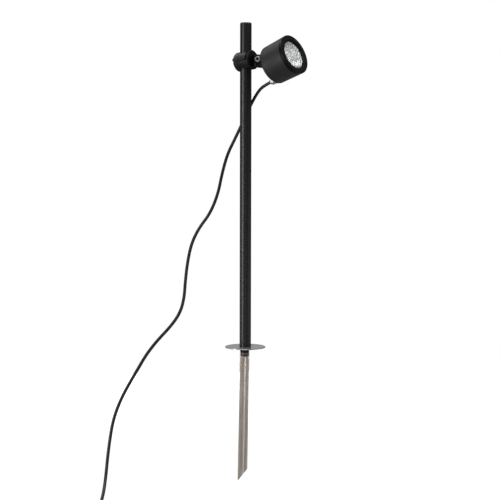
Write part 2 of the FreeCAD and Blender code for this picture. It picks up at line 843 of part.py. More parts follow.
def make_front_glass():
    body = new_body("front_glass", HEAD_FRAME)
    start = S["spigot_end"] + S["gasket_thickness"]
    cylinder(body, S["glass_radius"], S["glass_thickness"], place(start), ALONG_X)


def make_reflector():
    """Deep cup that opens from the light source to the glass, in straight facet rings."""
    body = new_body("reflector", HEAD_FRAME)
    start = S["heat_plate_start"] + S["heat_plate_thickness"] + 3.1
    depth = S["spigot_end"] - 0.2 - start
    mouth, throat, wall = S["window_radius"] + 1.4, 8.0, S["reflector_wall"]
    steps = 7
    inner = []
    for index in range(steps + 1):
        share = index / steps
        inner.append((start + depth * share, throat + (mouth - throat) * math.sqrt(share)))
    outer = [(along, radius + wall) for along, radius in reversed(inner)]
    rim = start + depth
    outer[0] = (rim - wall, mouth + wall)
    lip = [(rim, mouth + 2.6), (rim - wall, mouth + 2.6)]
    revolve(body, inner + lip + outer)


# ---------------------------------------------------------------------------
# Inside the head
# ---------------------------------------------------------------------------

def board_posts():
    """Places of the four posts under the driver board."""
    side = float(S["board_width"]) / 2 - 4
    half = float(S["board_height"]) / 2 - 4
    middle = float(S["board_centre"])
    return [(across * side, middle + up * half) for across in (-1, 1) for up in (-1, 1)]


def make_heat_plate():
    body = new_body("heat_plate", HEAD_FRAME)
    start, thickness = S["heat_plate_start"], S["heat_plate_thickness"]
    cylinder(body, S["heat_plate_radius"], thickness, place(start), ALONG_X)
    for side, up in around(3, S["heat_screw_circle"]):
        cylinder(body, S["heat_screw_radius"] + 0.25, thickness, place(start, side, up), ALONG_X,
                 cut=True)
    for side, up in around(2, S["holder_screw_circle"], 90):
        cylinder(body, S["holder_screw_radius"] + 0.05, thickness, place(start, side, up), ALONG_X,
                 cut=True)
    cylinder(body, S["lead_hole_radius"], thickness, place(start, 0, S["lead_hole_rise"]), ALONG_X,
             cut=True)


def make_heat_plate_screws():
    def screw(side, up):
        def build(member):
            base = place(S["heat_plate_start"] + S["heat_plate_thickness"], side, up)
            small_screw(member, S["heat_screw_radius"], S["heat_screw_length"], base)
        return build
    points = around(3, S["heat_screw_circle"])
    fastener_group("heat_plate_screws", HEAD_FRAME, [screw(side, up) for side, up in points])


def led_start():
    return S["heat_plate_start"] + S["heat_plate_thickness"]


def make_led_board():
    body = new_body("led_board", HEAD_FRAME)
    side = S["led_board_side"]
    corner = place(led_start(), -side / 2, -side / 2)
    block(body, (S["led_board_thickness"], side, side), corner)


def make_led_emitter():
    body = new_body("led_emitter", HEAD_FRAME)
    start = led_start() + S["led_board_thickness"]
    cylinder(body, S["led_radius"], 1.0, place(start), ALONG_X)


def make_led_holder():
    """Ring that presses the board on to the heat plate."""
    body = new_body("led_holder", HEAD_FRAME)
    start = led_start()
    lip = start + S["led_board_thickness"] + 0.1
    front = start + S["holder_thickness"]
    outer, window = S["holder_screw_circle"] + 1.85, S["led_radius"] + 1.6
    pocket = S["holder_screw_circle"] - 1.75
    revolve(body, [(start, pocket), (start, outer), (front, outer), (front, window),
                   (lip, window), (lip, pocket)])
    for side, up in around(2, S["holder_screw_circle"], 90):
        cylinder(body, S["holder_screw_radius"] + 0.15, S["holder_thickness"],
                 place(start, side, up), ALONG_X, cut=True)


def make_led_holder_screws():
    def screw(side, up):
        def build(member):
            base = place(led_start() + S["holder_thickness"], side, up)
            small_screw(member, S["holder_screw_radius"], S["holder_screw_length"], base)
        return build
    points = around(2, S["holder_screw_circle"], 90)
    fastener_group("led_holder_screws", HEAD_FRAME, [screw(side, up) for side, up in points])


def make_driver_board():
    body = new_body("driver_board", HEAD_FRAME)
    width, height = S["board_width"], S["board_height"]
    corner = place(S["board_start"], -width / 2, S["board_centre"] - height / 2)
    block(body, (S["board_thickness"], width, height), corner)
    for side, up in board_posts():
        cylinder(body, S["board_screw_radius"] + 0.2, S["board_thickness"],
                 place(S["board_start"], side, up), ALONG_X, cut=True)


def board_face():
    return S["board_start"] + S["board_thickness"]


def make_driver_screws():
    def screw(side, up):
        def build(member):
            small_screw(member, S["board_screw_radius"], S["board_screw_length"],
                        place(board_face(), side, up))
        return build
    fastener_group("driver_screws", HEAD_FRAME, [screw(side, up) for side, up in board_posts()])


def make_driver_transformer():
    body = new_body("driver_transformer", HEAD_FRAME)
    tall, wide, high = 6.8, 13.0, 14.0
    block(body, (tall, wide, high), place(board_face(), -wide / 2, 4))


def make_driver_capacitors():
    """Two cans lying on the board, one on each side of the transformer."""
    radius, length = 3.0, 11.0

    def can(side):
        def build(member):
            cylinder(member, radius, length, place(board_face() + radius, side, 4.5))
        return build
    fastener_group("driver_capacitors", HEAD_FRAME, [can(-11.0), can(11.0)])


def make_terminal_block():
    """Three-way block: a core goes up into each way, and a screw from the front holds it."""
    body = new_body("terminal_block", HEAD_FRAME)
    pitch, depth, high = S["terminal_pitch"], S["terminal_depth"], S["terminal_height"]
    low = S["terminal_low"]
    block(body, (depth, pitch * 3, high), place(board_face(), pitch * -1.5, low))
    for way in (-1, 0, 1):
        side = pitch * way
        cylinder(body, 1.2, high / 2, place(board_face() + depth / 2, side, low), cut=True)
        cylinder(body, 1.5, depth, place(board_face() + depth / 2, side, low + high / 2), ALONG_X,
                 cut=True)


# ---------------------------------------------------------------------------
# Tubes along a route
# ---------------------------------------------------------------------------

def arc_through(start, tangent, end):
    """The arc that leaves start along a unit tangent and reaches end."""
    chord = end - start
    sideways = tangent - chord * (tangent.dot(chord) / chord.dot(chord))
    if sideways.Length < 1e-9:
        return Part.LineSegment(start, end)
    half_angle = tangent.getAngle(chord)
    rise = chord.Length / 2 * math.tan(half_angle / 2)
    middle = start + chord * 0.5 + sideways.normalize() * rise
    return Part.Arc(start, middle, end)


def rounded_route(points):
    """Straight runs joined by tangent arcs, each as large as its two runs allow."""
    edges, radii = [], []
    last = points[0]
    for before, corner, after in zip(points, points[1:], points[2:]):
        into = (corner - before).normalize()
        out = (after - corner).normalize()
        setback = 0.45 * min((corner - before).Length, (after - corner).Length)
        radii.append(setback / math.tan(into.getAngle(out) / 2))
        start = corner - into * setback
        end = corner + out * setback
        edges.append(Part.LineSegment(last, start).toShape())
        edges.append(arc_through(start, into, end).toShape())
        last = end
    edges.append(Part.LineSegment(last, points[-1]).toShape())
    return edges, radii


def biarc(start, start_tangent, end, end_tangent):
    """Two tangent arcs from one point and direction to another."""
    chord = end - start
    both = start_tangent + end_tangent
    spread = 2 * (1 - start_tangent.dot(end_tangent))
    across = chord.dot(both)
    reach = (math.sqrt(across * across + spread * chord.dot(chord)) - across) / spread
    middle = (start + end + (start_tangent - end_tangent) * reach) * 0.5
    first = arc_through(start, start_tangent, middle)
    second = arc_through(end, end_tangent * -1, middle)
    return [first.toShape(), second.toShape()]


def tube(edges, radius):
    """A round solid along tangent edges, compared with its section times its length."""
    path = Part.Wire(Part.sortEdges(edges)[0])
    first = path.OrderedEdges[0]
    start = path.OrderedVertexes[0].Point
    at_first = (first.valueAt(first.FirstParameter) - start).Length < 1e-6
    tangent = first.tangentAt(first.FirstParameter if at_first else first.LastParameter)
    section = Part.Wire(Part.Circle(start, tangent, radius).toShape())
    shell = Part.BRepOffsetAPI.MakePipeShell(path)
    shell.add(section)
    shell.build()
    shell.makeSolid()
    solid = shell.shape()
    if solid.Volume < 0:
        solid.reverse()
    expected = math.pi * radius ** 2 * path.Length
    return solid, path.Length, solid.Volume / expected


def make_tube(label, points, radius, frame=None):
    edges, radii = rounded_route(points)
    solid, length, share = tube(edges, float(radius))
    tightest = f"{min(radii):.1f}" if radii else "straight"
    print(f"{label}: length {length:.0f}, volume share {share:.4f}, least radius {tightest}")
    if len(radii) > 3:
        print(f"{label} radii:", " ".join(f"{value:.0f}" for value in radii))
    new_feature(label, solid, frame)
    return length


# ---------------------------------------------------------------------------
# Cord entry and wires in the head
# ---------------------------------------------------------------------------

def make_cable_gland():
    """Screwed entry: a hexagon outside the back of the head, and a thread through it."""
    body = new_body("gland_body", HEAD_FRAME)
    collar, inside = S["gland_collar"], S["rear_wall"] + 4
    hexagon(body, S["gland_across"], collar, gland_place(-collar), ALONG_X)
    cylinder(body, S["gland_thread_radius"], collar + inside, gland_place(-collar), ALONG_X)
    cylinder(body, S["cord_radius"] + 0.3, 20.0, gland_place(-collar - 1), ALONG_X, cut=True)


def make_gland_locknut():
    body = new_body("gland_locknut", HEAD_FRAME)
    start = S["rear_wall"]
    hexagon(body, S["gland_locknut_across"], 3.0, gland_place(start), ALONG_X)
    cylinder(body, S["gland_thread_radius"] + 0.05, 3.0, gland_place(start), ALONG_X, cut=True)


def make_gland_nut():
    """Domed nut that squeezes the seal round the cord."""
    body = new_body("gland_nut", HEAD_FRAME)
    collar, flats, length = S["gland_collar"], S["gland_nut_flats"], S["gland_length"]
    bore = S["gland_seal_radius"] + 0.1
    hexagon(body, S["gland_across"], flats, gland_place(-collar - 0.1 - flats), ALONG_X)
    dome = body.newObject("PartDesign::AdditiveCone", "dome")
    bind(dome, Radius1=bore, Radius2=S["gland_across"] / 2, Height=length - collar - 0.1 - flats)
    dome.Placement = Placement(gland_place(-length), ALONG_X)
    cylinder(body, bore, S["gland_seal_length"] + 0.7, gland_place(3 - length), ALONG_X, cut=True)
    cylinder(body, S["cord_radius"] + 0.25, length, gland_place(-length - 1), ALONG_X, cut=True)


def make_gland_seal():
    body = new_body("gland_seal", HEAD_FRAME)
    start, length = gland_place(3.4 - S["gland_length"]), S["gland_seal_length"]
    cylinder(body, S["gland_seal_radius"], length, start, ALONG_X)
    cylinder(body, S["cord_radius"] + 0.05, length, start, ALONG_X, cut=True)


def make_cord_tail():
    """End of the cord that is held in the gland."""
    body = new_body("cord_tail", HEAD_FRAME)
    start = 0.1 - S["gland_length"]
    cylinder(body, S["cord_radius"], S["tail_end"] - start, gland_place(start), ALONG_X)


def make_leads():
    """Three cores from the cord to the terminals, and two leads to the light source."""
    start, drop = S["tail_end"], -S["gland_drop"]
    terminal = board_face() + S["terminal_depth"] / 2
    low = S["terminal_low"]
    cores = []
    for way in (-1, 0, 1):
        across = S["terminal_pitch"] * way
        route = [place(start, way * 2, drop), place(start + 2, way * 2, drop),
                 place(start + 2.6, way * 4, drop + 6), place(terminal, across, low - 3.5),
                 place(terminal, across, low - 0.1)]
        cores.append(tube(rounded_route(route)[0], float(S["core_radius"]))[0])
    new_feature("supply_cores", Part.makeCompound(cores), HEAD_FRAME)
    plate, hole = S["heat_plate_start"], S["lead_hole_rise"]
    pad_rise = hole - 4
    front = led_start() + S["led_board_thickness"]
    leads = []
    for side in (-1.5, 1.5):
        route = [place(board_face(), side, pad_rise), place(board_face() + 2.6, side, pad_rise),
                 place(plate - 2, side, hole - 0.3), place(plate + 2, side, hole),
                 place(front, side, hole - 0.5), place(front + 0.4, side, pad_rise + 0.5),
                 place(front + 0.2, side, pad_rise - 2.1)]
        leads.append(tube(rounded_route(route)[0], float(S["lead_radius"]))[0])
    new_feature("led_leads", Part.makeCompound(leads), HEAD_FRAME)


# ---------------------------------------------------------------------------
# Cord, coil and plug
# ---------------------------------------------------------------------------

# Free stretch after its straight start: it passes behind the pole, comes down in wide bends to
# the left and ends on the surface under the tip of the spike.
CORD_ROUTE = [
    (25, -7, 553), (14, 12, 534), (3, 27, 511), (-9, 36, 485), (-24, 40, 453), (-40, 41, 421),
    (-52, 36, 377), (-60, 28, 335), (-77, 16, 292), (-101, 2, 261), (-117, -12, 228),
    (-125, -26, 188), (-129, -40, 149), (-131, -54, 112), (-140, -66, 81), (-160, -76, 54),
    (-188, -86, 25), (-210, -96, -3), (-228, -106, -34), (-247, -116, -66), (-264, -126, -99),
    (-277, -135, -136), (-283, -144, -174), (-287, -155, -211), (-289, -171, -245),
    (-291, -196, -273), (-294, -230, -289.5), (-291, -268, -290.4), (-291, -306, -290.4),
]


def cord_points():
    """The cord's route: square out of the gland nut, then through the points above."""
    exit_point = HEAD_FRAME.multVec(gland_place(-S["gland_length"] + 0.1))
    straight = HEAD_FRAME.Rotation.multVec(Vector(-24, 0, 0))
    return [exit_point, exit_point + straight] + [Vector(*point) for point in CORD_ROUTE]


def coil_start():
    return Vector(*CORD_ROUTE[-1])


def coil_centre():
    end = coil_start()
    return Vector(end.x + float(S["coil_radius"]), end.y - 2 * float(S["cord_radius"]), end.z)


# The coil spirals in for half of its turns, climbs one layer about the middle one and spirals
# out again.
COIL_TURNS = 3.0
CLIMB_START = 1.25
CLIMB_END = 1.75


def coil_point(turns):
    """A point on the middle line of the coil, a number of turns from its start."""
    pitch = float(S["coil_pitch"])
    if turns < CLIMB_START:
        inwards, climb = turns, 0.0
    elif turns > CLIMB_END:
        inwards, climb = COIL_TURNS - turns, 1.0
    else:
        part = (turns - CLIMB_START) / (CLIMB_END - CLIMB_START)
        inwards = CLIMB_START + 0.25 * math.sin(math.pi * part) * (CLIMB_END - CLIMB_START)
        climb = (1 - math.cos(math.pi * part)) / 2
    radius = float(S["coil_radius"]) - pitch * inwards
    angle = math.pi + 2 * math.pi * turns
    return coil_centre() + Vector(radius * math.cos(angle), radius * math.sin(angle), pitch * climb)


def coil_tangent(turns):
    step = 0.001
    if turns <= 0 or turns >= COIL_TURNS:
        return Vector(0, -1, 0)
    return (coil_point(turns + step) - coil_point(turns - step)).normalize()


def make_cord_coil():
    steps = int(COIL_TURNS * 4)
    edges = []
    lead = Vector(0, -2 * float(S["cord_radius"]), 0)
    edges.append(Part.LineSegment(coil_start(), coil_point(0)).toShape())
    for index in range(steps):
        low, high = index / 4, (index + 1) / 4
        edges += biarc(coil_point(low), coil_tangent(low), coil_point(high), coil_tangent(high))
    edges.append(Part.LineSegment(coil_point(COIL_TURNS), coil_point(COIL_TURNS) + lead).toShape())
    radius = float(S["cord_radius"])
    solid, length, share = tube(edges, radius)
    print(f"cord_coil: length {length:.0f}, volume share {share:.4f}")
    print(f"cord_coil: least gap between turns {coil_gap(edges, radius):.2f}")
    new_feature("cord_coil", solid)
    return length


def coil_gap(edges, radius):
    """Least distance between turns of the coil, measured on points about 2 mm apart."""
    points = []
    for edge in edges:
        points += edge.discretize(max(2, int(edge.Length / 2)) + 1)[:-1]
    spacing = sum(edge.Length for edge in edges) / len(points)
    apart = int(60 / spacing)
    least = min((first - second).Length
                for index, first in enumerate(points) for second in points[index + apart:])
    return least - 2 * radius


def make_coil_tie():
    """Strap round all the turns on the side away from where the cord enters."""
    radius, pitch, wall, width = S["cord_radius"], S["coil_pitch"], S["tie_wall"], S["tie_width"]
    inner = S["coil_radius"] - pitch * 1.65 - radius - 0.4
    outer = S["coil_radius"] + radius + 0.4
    low, high = -radius - 0.2, pitch + radius + 0.4
    body = new_body("coil_tie", Placement(coil_centre(), Rotation(Z_AXIS, float(S["tie_bearing"]))))
    block(body, (outer - inner + wall * 2, width, high - low + wall * 2),
          place(inner - wall, -width / 2, low - wall))
    block(body, (outer - inner, width + 2, high - low), place(inner, -width / 2 - 1, low),
          cut=True)


def tail_points():
    """Short stretch from the top layer of the coil to the plug, which lies on its side."""
    start = coil_point(COIL_TURNS) + Vector(0, -2 * float(S["cord_radius"]), 0)
    plug_height = float(S["spike_bottom"]) + float(S["plug_radius"])
    rising = start + Vector(1.5, -34, 0)
    end = start + Vector(2, -52, 0)
    rising.z = plug_height - 1
    end.z = plug_height
    return [start, start + Vector(0, -16, 0), rising, end]


def plug_frame():
    end, before = tail_points()[-1], tail_points()[-2]
    return Placement(end, Rotation(X_AXIS, end - before))


def make_plug_boot(frame):
    """Tapered strain relief with five ribs."""
    boot = new_body("plug_boot", frame)
    ribs = 5
    step = S["boot_length"] / (ribs + 1)
    profile = [(0, 0), (0, 4.6)]
    for index in range(ribs):
        rib = 5.0 + 0.5 * index
        start, end, next_start = (step * (index + share) for share in (0.35, 0.8, 1.0))
        profile += [(start, rib), (end, rib + 0.1), (end, rib - 0.7), (next_start, rib - 0.7)]
    profile += [(S["boot_length"], 7.6), (S["boot_length"], 0)]
    revolve(boot, profile)


def make_plug():
    """Round two-pin plug behind its strain relief."""
    frame = plug_frame()
    make_plug_boot(frame)
    body = new_body("plug_body", frame)
    start, radius = S["boot_length"], S["plug_radius"]
    end = start + S["plug_length"]
    revolve(body, [(start, 0), (start, radius / 2), (start + 8, radius * 0.72),
                   (start + 14, radius * 0.78), (start + 15, radius * 0.97), (end - 1, radius),
                   (end, radius - 1), (end, 0)])

    def pin(side):
        def build(member):
            base = place(end, S["pin_spacing"] / 2 * side)
            cylinder(member, S["pin_radius"], S["pin_length"], base, ALONG_X)
        return build
    fastener_group("plug_pins", frame, [pin(-1), pin(1)])


# ---------------------------------------------------------------------------
# Assembly
# ---------------------------------------------------------------------------

def make_all():
    make_ground_plate()
    make_plate_washer()
    make_anchor_bolt()
    make_ground_spike()
    make_spike_weld()
    make_pole()
    make_pole_foot_plug()
    make_pole_cap()
    make_pole_bush()
    make_clamp_body()
    make_clamp_jaw()
    make_jaw_screws()
    make_head_bracket()
    make_bracket_screws()
    make_pivot_bolt()
    make_pivot_washer()
    make_pivot_nut()
    make_friction_rings()
    make_lamp_housing()
    make_flat_rings()
    make_front_bezel()
    make_front_glass()
    make_reflector()
    make_heat_plate()
    make_heat_plate_screws()
    make_led_board()
    make_led_emitter()
    make_led_holder()
    make_led_holder_screws()
    make_driver_board()
    make_driver_screws()
    make_driver_transformer()
    make_driver_capacitors()
    make_terminal_block()
    make_cable_gland()
    make_gland_locknut()
    make_gland_nut()
    make_gland_seal()
    make_cord_tail()
    make_leads()
    free = make_tube("supply_cord", cord_points(), S["cord_radius"])
    wound = make_cord_coil()
    make_coil_tie()
    tail = make_tube("plug_tail", tail_points(), S["cord_radius"])
    make_plug()
    print(f"whole cord: {free + wound + tail:.0f}")


def check_document():
    """Stops if any object failed or any node has no sound solid."""
    for item in DOCUMENT.Objects:
        if "Invalid" in item.State or "Error" in item.State:
            raise RuntimeError(f"{item.Label} failed: {item.State}")
    for node in NODES:
        if node.Shape.isNull() or not node.Shape.isValid() or not node.Shape.Solids:
            raise RuntimeError(f"{node.Label} has no sound solid")


def write_nodes():
    os.makedirs("parts", exist_ok=True)
    for node in NODES:
        node.Shape.exportStep(f"parts/{node.Label}.step")
    print(f"{len(NODES)} nodes written")


make_all()
DOCUMENT.recompute()
check_document()
write_nodes()
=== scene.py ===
"""Looks of the garden spike spotlight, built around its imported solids.

Metres, in the same frame as the solids: origin in the middle of the underside of the ground
plate, +Z up, and the head leans out towards +X and -Y.
"""

import json
import math

import bmesh
import bpy
from mathutils import Matrix, Vector


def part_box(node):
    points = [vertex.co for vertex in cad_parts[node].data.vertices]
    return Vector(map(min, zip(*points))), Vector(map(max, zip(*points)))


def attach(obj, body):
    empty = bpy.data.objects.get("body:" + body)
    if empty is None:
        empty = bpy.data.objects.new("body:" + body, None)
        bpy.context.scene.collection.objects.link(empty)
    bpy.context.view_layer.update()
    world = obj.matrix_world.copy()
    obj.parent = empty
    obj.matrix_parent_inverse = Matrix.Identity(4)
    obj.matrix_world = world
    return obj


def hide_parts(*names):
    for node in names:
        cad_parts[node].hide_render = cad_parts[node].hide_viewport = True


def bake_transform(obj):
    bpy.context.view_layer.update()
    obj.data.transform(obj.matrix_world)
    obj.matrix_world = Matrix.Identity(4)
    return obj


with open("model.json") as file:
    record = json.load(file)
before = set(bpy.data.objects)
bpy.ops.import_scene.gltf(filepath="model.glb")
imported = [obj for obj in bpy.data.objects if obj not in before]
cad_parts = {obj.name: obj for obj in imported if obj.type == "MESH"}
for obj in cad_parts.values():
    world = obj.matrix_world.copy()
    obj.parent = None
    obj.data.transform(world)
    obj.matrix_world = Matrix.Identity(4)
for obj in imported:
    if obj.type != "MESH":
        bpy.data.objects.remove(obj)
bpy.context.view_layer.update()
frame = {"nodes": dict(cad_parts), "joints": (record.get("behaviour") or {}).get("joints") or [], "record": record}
NODES = frame["nodes"]
MM = 0.001


# ---------------------------------------------------------------------------
# Camera
# ---------------------------------------------------------------------------

CAMERA_DISTANCE = 3.2
CAMERA_DOWN = math.radians(4.371)
CAMERA_ROLL = math.radians(0.133)
AIM_HEIGHT = 0.2133
AIM_RIGHT = 0.00998
MM_PER_PIXEL = 2.1752
IMAGE_PIXELS = 500
SENSOR_WIDTH_MM = 36.0
CAMERA_FAR_END = 60.0


def make_camera():
    """Looks along +Y from a little above the lamp's foot, with the photograph's perspective."""
    data = bpy.data.cameras.new("camera")
    data.sensor_width = SENSOR_WIDTH_MM
    data.lens = CAMERA_DISTANCE / (MM_PER_PIXEL * MM * IMAGE_PIXELS) * data.sensor_width
    data.clip_end = CAMERA_FAR_END
    camera = bpy.data.objects.new("camera", data)
    bpy.context.scene.collection.objects.link(camera)
    back = Vector((0, -math.cos(CAMERA_DOWN), math.sin(CAMERA_DOWN)))
    place = Vector((AIM_RIGHT, 0, AIM_HEIGHT)) + back * CAMERA_DISTANCE
    camera.matrix_world = (Matrix.Translation(place)
                           @ Matrix.Rotation(math.pi / 2 - CAMERA_DOWN, 4, "X")
                           @ Matrix.Rotation(CAMERA_ROLL, 4, "Z"))
    bpy.context.scene.camera = camera


# ---------------------------------------------------------------------------
# Materials
# ---------------------------------------------------------------------------

# where most of a noise texture's values begin and end
NOISE_LOW = 0.3
NOISE_HIGH = 0.7

# the knuckle's screw: the painted shade in the socket round its axis, and the width of the socket's edge
TILT = next(joint for joint in frame["joints"] if joint["name"] == "head_tilt")
SOCKET_RADIUS = 0.0034
SOCKET_EDGE = 0.0004

# the rounding inside the spike's angle: its leaning axis, and the painted highlight strip round that
SPIKE_LEAN = math.radians(-0.92)
SPIKE_LINE = (math.sin(SPIKE_LEAN), 0.0, -math.cos(SPIKE_LEAN))
ROUNDING_CENTRE = (-0.00013, 0.00863, 0.0)
ROUNDING_RADIUS = 0.0021
ROUNDING_EDGE = 0.0002

SPECKLE_SHARE = 0.6
FACET_SIZE = 0.006


def grey(value, warmth=0.0):
    """A linear grey, a little warmer or cooler."""
    return (value * (1 + warmth), value, value * (1 - warmth), 1.0)


def ranged(tree, value, low, high, start=0.0, end=1.0):
    """Start where the value is at or under low, end where it is at or over high."""
    node = tree.nodes.new("ShaderNodeMapRange")
    node.inputs["From Min"].default_value = low
    node.inputs["From Max"].default_value = high
    node.inputs["To Min"].default_value = start
    node.inputs["To Max"].default_value = end
    tree.links.new(value, node.inputs["Value"])
    return node.outputs["Result"]


def vector_math(tree, operation, first, second=None):
    """A node for a sum on vectors: the first is a link, the second a fixed vector."""
    node = tree.nodes.new("ShaderNodeVectorMath")
    node.operation = operation
    tree.links.new(first, node.inputs[0])
    if second is not None:
        node.inputs[1].default_value = second
    return node


def calculated(tree, operation, *values):
    """The result of a sum on numbers and links."""
    node = tree.nodes.new("ShaderNodeMath")
    node.operation = operation
    for target, value in zip(node.inputs, values):
        if isinstance(value, float):
            target.default_value = value
        else:
            tree.links.new(value, target)
    return node.outputs["Value"]


class Finish:
    """A procedural material: one Principled shader, and textures in the object's own metres."""

    def __init__(self, name, roughness=0.5, metallic=0.0, **sockets):
        self.material = bpy.data.materials.new(name)
        self.material.use_nodes = True
        self.tree = self.material.node_tree
        self.shader = self.tree.nodes["Principled BSDF"]
        self.shader.inputs["Roughness"].default_value = roughness
        self.shader.inputs["Metallic"].default_value = metallic
        for label, value in sockets.items():
            self.shader.inputs[label.replace("_", " ")].default_value = value
        self.coordinates = self.tree.nodes.new("ShaderNodeTexCoord").outputs["Object"]

    def link(self, output, target):
        self.tree.links.new(output, target)

    def noise(self, size, detail=3.0, stretch=(1, 1, 1)):
        """Noise whose features are about size metres across, longer along the stretched axes."""
        mapping = self.tree.nodes.new("ShaderNodeMapping")
        mapping.inputs["Scale"].default_value = [1 / axis for axis in stretch]
        self.link(self.coordinates, mapping.inputs["Vector"])
        texture = self.tree.nodes.new("ShaderNodeTexNoise")
        texture.inputs["Scale"].default_value = 1 / size
        texture.inputs["Detail"].default_value = detail
        self.link(mapping.outputs["Vector"], texture.inputs["Vector"])
        return texture.outputs["Fac"]

    def ramp(self, factor, stops):
        """A colour or grey for each step of a factor: stops are (position, colour)."""
        ramp = self.tree.nodes.new("ShaderNodeValToRGB")
        elements = ramp.color_ramp.elements
        while len(elements) < len(stops):
            elements.new(0.5)
        for element, (position, colour) in zip(elements, stops):
            element.position = position
            element.color = colour if isinstance(colour, tuple) else grey(colour)
        self.link(factor, ramp.inputs["Fac"])
        return ramp.outputs["Color"]

    def colour(self, factor, *stops):
        """Base colour: stops are (position, colour)."""
        self.link(self.ramp(factor, stops), self.shader.inputs["Base Color"])

    def mottled(self, noise, dark, light):
        """Base colour that wanders between two colours with a noise."""
        self.colour(noise, (NOISE_LOW, dark), (NOISE_HIGH, light))

    def rough(self, noise, low, high):
        """Roughness that wanders between two values with a noise."""
        stops = [(NOISE_LOW, low), (NOISE_HIGH, high)]
        self.link(self.ramp(noise, stops), self.shader.inputs["Roughness"])

    def bump(self, height, depth, strength):
        """Shades the surface as if it rose by up to depth metres."""
        bump = self.tree.nodes.new("ShaderNodeBump")
        bump.inputs["Distance"].default_value = depth
        bump.inputs["Strength"].default_value = strength
        self.link(height, bump.inputs["Height"])
        self.link(bump.outputs["Normal"], self.shader.inputs["Normal"])

    def height_above(self, low, high):
        """0 at the lower height, 1 at the upper one."""
        split = self.tree.nodes.new("ShaderNodeSeparateXYZ")
        self.link(self.coordinates, split.inputs["Vector"])
        return ranged(self.tree, split.outputs["Z"], low, high)

    def from_line(self, point, direction, near, far):
        """0 within the near distance of a line, 1 beyond the far one."""
        offset = vector_math(self.tree, "SUBTRACT", self.coordinates, point)
        across = vector_math(self.tree, "CROSS_PRODUCT", offset.outputs["Vector"], direction)
        distance = vector_math(self.tree, "LENGTH", across.outputs["Vector"])
        return ranged(self.tree, distance.outputs["Value"], near, far)

    def cells(self, size):
        """0 on the edges of irregular cells of about that size, rising towards their middles."""
        texture = self.tree.nodes.new("ShaderNodeTexVoronoi")
        texture.feature = "DISTANCE_TO_EDGE"
        texture.inputs["Scale"].default_value = 1 / size
        self.link(self.coordinates, texture.inputs["Vector"])
        return texture.outputs["Distance"]

    def rings(self, size):
        """Fine turning marks round the Z axis, about size metres apart."""
        split = self.tree.nodes.new("ShaderNodeSeparateXYZ")
        self.link(self.coordinates, split.inputs["Vector"])
        flat = self.tree.nodes.new("ShaderNodeCombineXYZ")
        self.link(split.outputs["X"], flat.inputs["X"])
        self.link(split.outputs["Y"], flat.inputs["Y"])
        radius = vector_math(self.tree, "LENGTH", flat.outputs["Vector"])
        texture = self.tree.nodes.new("ShaderNodeTexNoise")
        texture.noise_dimensions = "1D"
        texture.inputs["Scale"].default_value = 1 / size
        texture.inputs["Detail"].default_value = 2.0
        self.link(radius.outputs["Value"], texture.inputs["W"])
        return texture.outputs["Fac"]


def powder_coat(name, low, high, roughness, grain, depth, gloss=0.5):
    """Black baked powder: slightly uneven colour, and an orange-peel surface of that grain."""
    finish = Finish(name, roughness=roughness, Specular_IOR_Level=gloss)
    finish.mottled(finish.noise(0.006, detail=4), grey(low), grey(high))
    finish.rough(finish.noise(0.012), roughness - 0.04, roughness + 0.05)
    finish.bump(finish.noise(grain, detail=2), depth, strength=0.8)
    return finish.material


def pole_paint():
    """Smooth satin black paint with the faint lengthwise draw marks of the tube under it."""
    finish = Finish("pole_paint", roughness=0.38)
    finish.mottled(finish.noise(0.02, detail=4), grey(0.004), grey(0.007))
    finish.rough(finish.noise(0.004, stretch=(1, 1, 30)), 0.35, 0.41)
    finish.bump(finish.noise(0.0009, detail=2, stretch=(1, 1, 8)), 0.000003, strength=0.5)
    return finish.material


def moulded(name, low, high, roughness, grain=0.0008):
    """Moulded plastic or rubber with a fine matte grain."""
    finish = Finish(name, roughness=roughness)
    finish.mottled(finish.noise(0.009), grey(low), grey(high))
    finish.rough(finish.noise(0.003), roughness - 0.07, roughness + 0.07)
    finish.bump(finish.noise(grain, detail=2), 0.00004, strength=0.6)
    return finish.material


def tinted(name, colour, roughness, spread=0.18):
    """A plainly coloured small piece, with slight unevenness."""
    finish = Finish(name, roughness=roughness)
    dark = tuple(channel * (1 - spread) for channel in colour) + (1.0,)
    light = tuple(min(1.0, channel * (1 + spread)) for channel in colour) + (1.0,)
    finish.mottled(finish.noise(0.004), dark, light)
    finish.rough(finish.noise(0.002), roughness - 0.06, roughness + 0.06)
    finish.bump(finish.noise(0.0006), 0.00002, strength=0.5)
    return finish.material


def machined(name, value, warmth, roughness, grain=0.0004):
    """Turned or pressed metal with fine marks."""
    finish = Finish(name, roughness=roughness, metallic=1.0)
    finish.mottled(finish.noise(0.003), grey(value * 0.85, warmth), grey(value, warmth))
    finish.rough(finish.noise(0.002), roughness - 0.06, roughness + 0.08)
    finish.bump(finish.noise(grain), 0.00001, strength=0.5)
    return finish.material


def plate_steel():
    """Polished stainless disc with fine turning marks."""
    finish = Finish("plate_steel", roughness=0.2, metallic=0.65, Specular_Tint=grey(0.26))
    finish.mottled(finish.noise(0.02), grey(0.35, 0.03), grey(0.41, 0.03))
    finish.rough(finish.rings(0.0004), 0.16, 0.26)
    finish.bump(finish.rings(0.0003), 0.000004, strength=0.5)
    return finish.material


